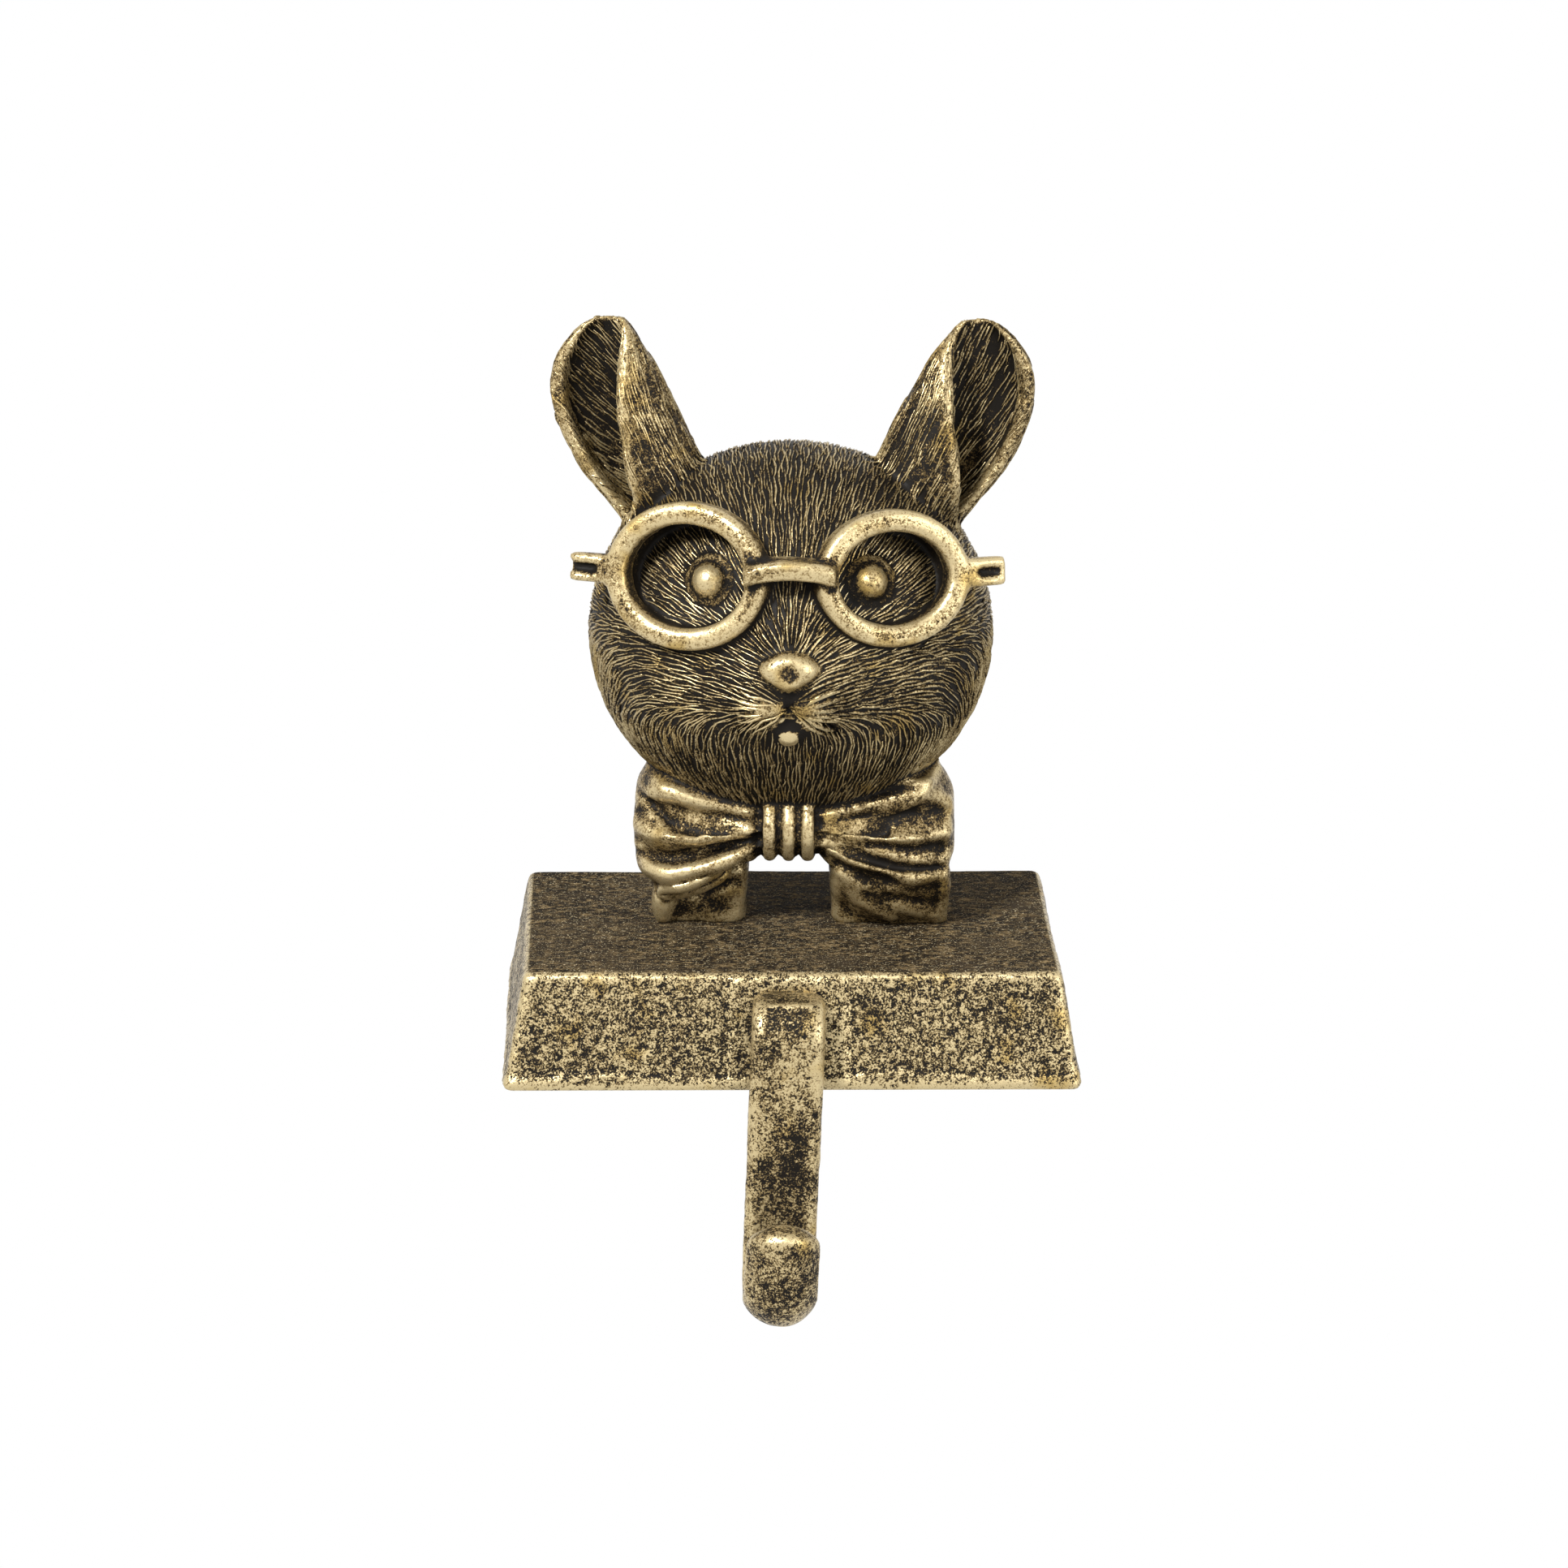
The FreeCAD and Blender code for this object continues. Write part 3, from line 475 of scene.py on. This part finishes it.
# Strokes of the carver, as seen from the front: the line in millimetres across and up,
# how wide it is, and how high it stands or how deep it goes.
strokes = [
    ([(-29.6, 51.7), (-24.0, 48.5), (-16.5, 46.1), (-6.9, 45.8)], 1.0, -1.1),
    ([(-29.8, 39.5), (-23.0, 39.8), (-15.0, 42.2), (-6.7, 44.3)], 1.1, -1.4),
    ([(-25.5, 31.1), (-19.0, 32.1), (-12.9, 35.8), (-7.4, 41.1)], 1.0, -1.3),
    ([(-26.6, 55.9), (-24.0, 53.2), (-16.5, 49.6), (-7.9, 46.9)], 1.9, 0.7),
    ([(-30.1, 45.9), (-26.0, 43.2), (-17.5, 44.0), (-7.4, 45.3)], 1.9, 0.7),
    ([(-28.1, 36.4), (-21.5, 34.2), (-14.4, 37.4), (-7.9, 42.7)], 1.9, 0.9),
    ([(-27.6, 49.8), (-22.5, 46.7), (-16.5, 45.3)], 0.7, -0.8),
    ([(7.7, 46.1), (13.7, 45.8), (19.3, 46.6)], 0.9, -1.2),
    ([(7.7, 42.7), (14.3, 41.1), (21.4, 39.2), (30.5, 37.9)], 0.9, -1.4),
    ([(7.2, 48.5), (14.2, 48.2), (21.3, 50.6), (26.2, 54.2), (30.7, 58.7)], 1.5, 0.9),
    ([(7.2, 44.2), (13.8, 42.9), (21.4, 41.1), (28.0, 38.4)], 1.4, 0.7),
    ([(8.8, 39.0), (14.4, 34.2), (19.4, 33.6), (29.0, 36.3)], 1.3, 0.6),
    ([(31.6, 51.1), (31.7, 46.3), (31.0, 37.3), (31.2, 28.3)], 1.1, 0.7),
    ([(-19.0, 30.0), (-12.9, 31.0), (-9.9, 34.2)], 1.2, 0.5),
    ([(-1.9, 51.0), (-1.9, 39.5)], 0.55, -1.3),
    ([(1.9, 51.0), (1.9, 39.5)], 0.55, -1.3),
    ([(-6.1, 51.0), (-6.1, 40.5)], 0.8, -1.3),
    ([(6.1, 51.0), (6.1, 40.5)], 0.8, -1.3),
    ([(-24.0, 30.0), (-16.0, 30.4), (-11.0, 33.0)], 1.1, -0.8),
    ([(10.5, 36.5), (14.0, 30.5), (20.5, 26.5)], 1.7, 0.8),
    ([(12.0, 38.0), (21.0, 31.5), (29.5, 29.5)], 1.0, -0.35),
    ([(22.0, 29.0), (27.0, 26.5), (31.0, 26.0)], 1.5, 0.7),
    ([(9.8, 34.0), (9.9, 30.0), (9.3, 25.5)], 1.0, 0.5),
]
# Cloth that hangs from the bow over the legs, and the rounded corners of the arch between them:
# middle, half sizes, how far each lobe tips down to the viewer's right, and how far it leans out.
cloth_lobes = [
    ((-19.0, -8.0, 34.0), (8.4, 3.4, 3.0), -22, 0),
    ((-24.6, -2.2, 31.0), (2.9, 4.6, 8.0), 8, 10),
    ((-15.5, 0.4, 26.2), (6.8, 2.8, 2.4), 0, 0),
    ((20.4, -4.8, 34.0), (12.4, 4.4, 12.4), 0, 30),
    ((29.6, -2.0, 32.0), (2.6, 3.8, 8.0), 0, 20),
    ((-8.6, -5.6, 40.8), (3.2, 5.0, 2.9), 0, 0),
    ((8.8, -5.2, 40.8), (3.2, 4.6, 2.9), 0, 0),
]
lobes = []
for middle, half_sizes, tip, lean in cloth_lobes:
    spin = Matrix.Rotation(bust_turn, 4, "Z")
    place = Matrix.Translation(Vector(middle) * mm)
    tilt = Matrix.Rotation(math.radians(lean), 4, "X") @ Matrix.Rotation(math.radians(tip), 4, "Y")
    lobes.append(spin @ place @ tilt @ Matrix.Diagonal((*half_sizes, 1)))
figure = fine_copy("mouse_bust", "mouse_bust_casting", 0.68 * mm, lobes)
spots = evened(figure.data, points_of(figure.data), 2)
put(figure.data, spots)
ways = normals_of(figure.data)
own = unturned(spots)
own_ways = unturned(ways * mm)
from_centre = own - head_centre
far = np.linalg.norm(from_centre, axis=1)
over_skin = far - skull_radius(from_centre / far[:, None])
on_skin = np.abs(over_skin) < 0.35
below_head = (own[:, 2] < bow_top) & ~on_skin
cloth = below_head & (own_ways[:, 1] < 0.25)
push = lumps(spots, 7 * mm, 21) * 0.10
for line, width, height in strokes:
    near = np.full(len(own), 1e9)
    for start, end in zip(line, line[1:]):
        start, way = np.array(start), np.array(end) - np.array(start)
        share = np.clip(((own[:, [0, 2]] - start) @ way) / (way @ way), 0, 1)
        near = np.minimum(near, np.linalg.norm(own[:, [0, 2]] - start - share[:, None] * way, axis=1))
    push += height * np.exp(-((near / width) ** 2)) * cloth * np.clip(-own_ways[:, 1] * 2 + 0.4, 0, 1)
calm = np.clip((np.abs(own[:, 0]) - 4) / 4, 0.15, 1) * below_head
push += (lumps(spots, 6.5 * mm, 24) * 0.35 + lumps(spots, 3.0 * mm, 22) * 0.16) * calm
x, y, z = own.T
nose = (y < -26) & (np.hypot(x / 6.6, (z - 84.4) / 4.8) < 1) & (over_skin > 0.15)
below = np.clip((84.9 - z) / 4.2, 0, 1) * nose
above_nose = np.clip((z - 86.4) / 2.4, 0, 1) * nose
own[:, 0] *= 1 - 0.42 * below ** 1.3 - 0.12 * above_nose
dimple = np.clip(1.25 - np.hypot(x / 3.4, (z - 84.6) / 1.9), 0, 1) * nose
push -= 0.12 * dimple
muzzle = (y < muzzle_back) & on_skin
gape_half = 0.9 + (77 - z).clip(0, 5) * 0.42
gape = np.clip(1.2 - np.hypot(x / gape_half, (z - 74.4) / 2.7), 0, 1) * muzzle
philtrum = np.exp(-((x / 0.75) ** 2)) * (np.abs(z - 78) < 2.6) * muzzle
push -= 1.2 * gape.clip(0, 0.8) + 0.7 * philtrum
pad = np.exp(-(np.hypot((np.abs(x) - 3.9) / 3.2, (z - 76.2) / 2.4) ** 2)) * muzzle
push += 0.8 * pad
spots = turned(own)
put(figure.data, spots + ways * (push * mm)[:, None])
mark_raised(figure.data, 10, 0.16 * mm)
raised = np.zeros(len(own), np.float32)
figure.data.attributes["raised"].data.foreach_get("value", raised)
ear_zone = (z > 103) & (over_skin > 0.35) & (np.abs(x) > 14) & (y > -9)
glasses = (y < -16) & (z > 84) & (over_skin > 1.2) & ~nose
from_eye = np.hypot(np.abs(x) - eye_aside, z - eye_rise)
lid = (from_eye > 3.3) & (from_eye < 6) & (over_skin < 2.4) & (z > 94)
lower_lip = (y < -20) & (np.hypot(x, z - 70.2) < 2.4) & (over_skin > 0.3)
raised[below_head] = 0.57 + 0.62 * (raised[below_head] - 0.5)
raised -= 0.42 * on_skin + 0.22 * ear_zone + 0.04 * dimple + 0.5 * gape - 0.22 * pad
raised += 0.01 * glasses + 0.12 * nose - 0.06 * lid
raised += 0.75 * lower_lip
raised[nose] = np.maximum(raised[nose], 0.48)
figure.data.attributes["raised"].data.foreach_set("value", raised)
figure.data.materials.append(rubbed_finish("resin_finish", -0.03, 1.4, 1.0, 3.1, 0.8))
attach(figure, "root")
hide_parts("mouse_bust")


# Fur: the carver's gouges lie side by side away from the nose, and thin crests stand between
# them, waving and running into one another. Each crest is a flat-bottomed sliver laid on the skin.
sliver = bmesh.new()
bmesh.ops.create_uvsphere(sliver, u_segments=3, v_segments=6, radius=1)
bmesh.ops.recalc_face_normals(sliver, faces=sliver.faces)
sliver_mesh = bpy.data.meshes.new("fur_crest")
sliver.to_mesh(sliver_mesh)
sliver.free()
crest, beside, along = points_of(sliver_mesh).T
stations = 7
station = np.clip(np.floor((along + 1) * (stations - 1) / 2).astype(int), 0, stations - 2)
part_way = ((along + 1) * (stations - 1) / 2 - station)[:, None]
chance = np.random.default_rng(7)


def unit(ways):
    return ways / np.linalg.norm(ways, axis=-1, keepdims=True)


def lay_crests(name, seeds, guide, settle, sizes, finish):
    """One piece of crests: seeds are their middles, guide gives the way and the normal at points,
    settle puts points back on the skin, sizes are half length, half width, height and wave."""
    half_length, half_width, height, wave = sizes
    step = half_length / (stations // 2)
    line = [seeds] * stations
    _, middle_out = guide(seeds)
    for direction in (1, -1):
        spot = seeds
        for k in range(1, stations // 2 + 1):
            way, _ = guide(spot)
            ahead = settle(spot + way * (direction * step)[:, None])
            round_an_edge = (guide(ahead)[1] * middle_out).sum(1) < 0.4
            spot = np.where(round_an_edge[:, None], spot, ahead)
            line[stations // 2 + direction * k] = spot
    phase = chance.uniform(0, 2 * math.pi, len(seeds))
    pace = chance.uniform(0.9, 1.5, len(seeds))
    spots, outs, sides = [], [], []
    for k, spot in enumerate(line):
        way, out = guide(spot)
        side = unit(np.cross(out, way))
        shift = wave * np.sin(phase + pace * (k - stations // 2))
        spots.append(settle(spot + side * shift[:, None]))
        outs.append(out)
        sides.append(side)
    spots, outs, sides = (np.stack(rows, axis=1) for rows in (spots, outs, sides))

    def at(rows):
        return rows[:, station] * (1 - part_way) + rows[:, station + 1] * part_way

    lift = np.where(crest > 0.1, crest * height[:, None], crest * 0.3 - 0.12)
    places = at(spots) + at(outs) * lift[:, :, None] + at(sides) * (beside * half_width[:, None])[:, :, None]
    obj = bpy.data.objects.new(name, sliver_mesh.copy())
    scene.collection.objects.link(obj)
    rows = obj.modifiers.new("rows", "ARRAY")
    rows.count = len(seeds)
    rows.use_relative_offset = False
    bpy.context.view_layer.update()
    obj.data = bpy.data.meshes.new_from_object(obj.evaluated_get(bpy.context.evaluated_depsgraph_get()))
    obj.modifiers.clear()
    put(obj.data, turned(places.reshape(-1, 3)))
    obj.data.shade_smooth()
    raised = obj.data.attributes.new("raised", "FLOAT", "POINT")
    shade = np.where(crest > 0, 0.55 + 0.4 * crest, 0.12) + chance.uniform(-0.12, 0.12, len(seeds))[:, None]
    raised.data.foreach_set("value", np.clip(shade, 0, 1).astype(np.float32).ravel())
    obj.data.materials.append(finish)
    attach(obj, "root")
    return obj


def spread_out(spots, halves, guide, aside):
    """Numbers of the spots that stay: the long crests are laid first, and the shorter ones
    after them wherever there is room beside them and between their ends."""
    ways, outs = guide(spots)
    sides = np.cross(outs, ways)
    cell_size = 1.7 * halves.max()
    held = {}
    kept = []
    for i in np.argsort(-halves, kind="stable"):
        cell = tuple((spots[i] // cell_size).astype(int))
        near = [j for a in (-1, 0, 1) for b in (-1, 0, 1) for c in (-1, 0, 1)
                for j in held.get((cell[0] + a, cell[1] + b, cell[2] + c), ())]
        if near:
            apart = spots[near] - spots[i]
            ahead = 0.64 * (halves[near] + halves[i])
            if np.any((np.abs(apart @ ways[i]) < ahead) & (np.abs(apart @ sides[i]) < aside)):
                continue
        held.setdefault(cell, []).append(i)
        kept.append(i)
    return np.array(kept)


def in_sizes(count):
    """Half lengths in three sizes, long, middling and short."""
    return chance.choice((4.0, 2.7, 1.6), count, p=(0.35, 0.3, 0.35)) * chance.uniform(0.85, 1.15, count)


def head_settle(spots):
    ways = unit(spots - head_centre)
    return ways * skull_radius(ways)[:, None] + head_centre


nose_tip = np.array((0, -31.0, 84.4))


def head_guide(spots):
    """Away from the nose, but straight down below the mouth, round the cheeks and at the back."""
    out = unit((spots - head_centre) / head_half ** 2)
    x, y, z = np.abs(spots[:, 0]), spots[:, 1], spots[:, 2]
    to_mouth = np.stack((0 * z, 0 * z, -7.2 * np.clip((88 - z) / 9, 0, 1)), axis=1)
    away = unit(spots - nose_tip - to_mouth)
    drop = np.clip((75.5 - z) / 9, 0, 1) * np.clip((20 - y) / 12, 0, 1)
    drop = np.maximum(drop, np.clip((x - 24) / 18, 0, 0.8) * np.clip((90 - z) / 12, 0, 1))
    drop = np.maximum(drop, np.clip((y - 9) / 12, 0, 1))
    way = away * (1 - drop)[:, None] + np.array((0, 0, -1.0)) * drop[:, None]
    return unit(way - out * (way * out).sum(1)[:, None]), out


fur_finish = rubbed_finish("fur_finish", 0.02, 0.8, 0.75, 3.8, 0.6)
tries = unit(chance.normal(size=(70000, 3)))
tries = head_settle(tries + head_centre)
x, z = np.abs(tries[:, 0]), tries[:, 2]
on_nose = (np.hypot(x / 6.3, (z - 84.6) / 4.6) < 1) | ((x < 3.2) & (z > 76) & (z < 82))
on_mouth = (x < 2.4 + (76 - z) * 0.35) & (z > 68) & (z < 77)
on_pad = np.hypot((x - 4.6) / 4.2, (z - 75.8 + 0.3 * (x - 4.6)) / 3.4) < 1
on_eye = np.hypot(x - eye_aside, z - eye_rise) < 5.4
tries = tries[~((tries[:, 1] < 0) & (on_nose | on_mouth | on_pad | on_eye))]
halves = in_sizes(len(tries))
kept = spread_out(tries, halves, head_guide, 0.52)
for side, name in ((-1, "left_head_fur"), (1, "right_head_fur")):
    mine = kept[tries[kept, 0] * side >= 0]
    many = len(mine)
    lay_crests(name, tries[mine], head_guide, head_settle, (
        halves[mine], chance.uniform(0.29, 0.41, many),
        chance.uniform(0.40, 0.62, many), chance.uniform(0.12, 0.32, many)), fur_finish)


# Whisker pads: seven bold strokes on each side of the mouth, fanning out from it.
pad_root = np.array((0, -31.0, 77.0))


def pad_guide(spots):
    out = unit((spots - head_centre) / head_half ** 2)
    way = unit((spots - pad_root) * (1, 0.2, 1))
    return unit(way - out * (way * out).sum(1)[:, None]), out


pad_seeds = []
for side in (-1, 1):
    for k in range(7):
        slope = math.radians(20 - 10.5 * k + chance.uniform(-2, 2))
        reach = chance.uniform(5.2, 6.6)
        pad_seeds.append((side * reach * math.cos(slope), -30, pad_root[2] + reach * math.sin(slope)))
pad_seeds = head_settle(np.array(pad_seeds))
many = len(pad_seeds)
lay_crests("whisker_pads", pad_seeds, pad_guide, head_settle, (
    chance.uniform(4.6, 5.8, many), chance.uniform(0.55, 0.80, many),
    chance.uniform(0.6, 0.8, many), chance.uniform(0.2, 0.5, many)),
    rubbed_finish("whisker_pad_finish", 0.32, 0.5, 1.0, 3.0, 0.6))


# Ear fur: along the ear outside, and fanning up from the inner rim inside the cup.
# Each row is a height above the head's centre and the middle of the cup there, from the side.
ear_rows = np.array([
    (19.0, 22.5), (23.5, 24.4), (28.0, 26.9), (32.5, 29.5), (38.0, 32.2), (43.5, 34.6),
    (49.0, 36.3), (54.0, 37.1), (58.2, 37.1), (61.0, 36.7), (62.8, 36.2),
])
cup_setback = 4.4
skin_tree = BVHTree.FromPolygons([tuple(p) for p in unturned(points_of(figure.data))],
                                 [tuple(p.vertices) for p in figure.data.polygons])


def ear_settle(spots):
    return np.array([skin_tree.find_nearest(Vector(spot))[0] for spot in spots])


def ear_guide_of(side, root, share):
    """Guide for one ear, whose inner lines fan from a root given across and up."""
    def guide(spots):
        out = np.array([skin_tree.find_nearest(Vector(spot))[1] for spot in spots])
        rise = spots[:, 2] - head_centre[2]
        middle = side * np.interp(rise, ear_rows[:, 0], ear_rows[:, 1])
        from_axis = unit(np.stack((spots[:, 0] - middle, spots[:, 1] - cup_setback), axis=1))
        outer = (out[:, :2] * from_axis).sum(1) > 0.45
        fan = np.arctan2(spots[:, 2] - root[1], np.abs(spots[:, 0] - root[0])) * share
        inside = np.stack((side * np.cos(fan), 0 * fan, np.sin(fan)), axis=1)
        tilt = np.interp(rise, ear_rows[:, 0], np.gradient(ear_rows[:, 1], ear_rows[:, 0]))
        outside = np.stack((side * tilt, 0 * tilt, 0 * tilt + 1), axis=1)
        way = np.where(outer[:, None], outside, inside)
        return unit(way - out * (way * out).sum(1)[:, None]), out
    return guide


on_ear = (own[:, 2] > 102.5) & (np.abs(own[:, 0]) > 12) & (own[:, 1] > -11) & (over_skin > 0.5)
on_ear = np.flatnonzero(on_ear)
for side, name, root, share in (
    (-1, "left_ear_fur", (-20, 106), 0.80),
    (1, "right_ear_fur", (24, 104), 0.95),
):
    tries = own[on_ear[own[on_ear, 0] * side > 0]]
    tries = np.repeat(tries, 4, axis=0)
    tries = ear_settle(tries + chance.uniform(-0.5, 0.5, tries.shape))
    guide = ear_guide_of(side, root, share)
    halves = in_sizes(len(tries)) * 0.9
    kept = spread_out(tries, halves, guide, 0.44)
    many = len(kept)
    lay_crests(name, tries[kept], guide, ear_settle, (
        halves[kept], chance.uniform(0.28, 0.40, many),
        chance.uniform(0.30, 0.48, many), chance.uniform(0.08, 0.24, many)), fur_finish)
